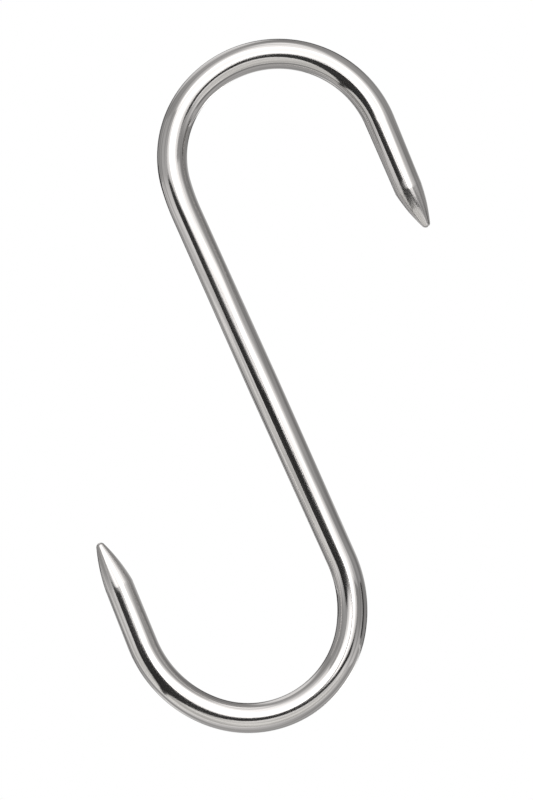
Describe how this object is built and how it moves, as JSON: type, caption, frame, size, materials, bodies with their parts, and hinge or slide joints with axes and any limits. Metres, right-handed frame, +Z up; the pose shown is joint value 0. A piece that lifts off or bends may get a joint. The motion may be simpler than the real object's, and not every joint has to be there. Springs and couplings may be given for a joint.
{
  "type": "s hook",
  "caption": "S hook of round stainless bar, with wide bends open on opposite sides and ends ground to blunt points, for hanging a load from a rail.",
  "frame": {"origin": "the place under the crown of the upper bend where a rail bears, on the hook's middle plane", "axes": "+Z up, against the pull of the load, which hangs straight below the origin; the bar lies in the XZ plane, with the upper bend open towards +X and down, and the lower one towards -X and up; +Y to the back"},
  "size_m": [0.0809, 0.0082, 0.1809],
  "materials": {
    "polished_stainless": "polished, with fine grinding marks round the bar"
  },
  "bodies": {
    "root": {"s_hook": "polished_stainless"}
  },
  "joints": []
}
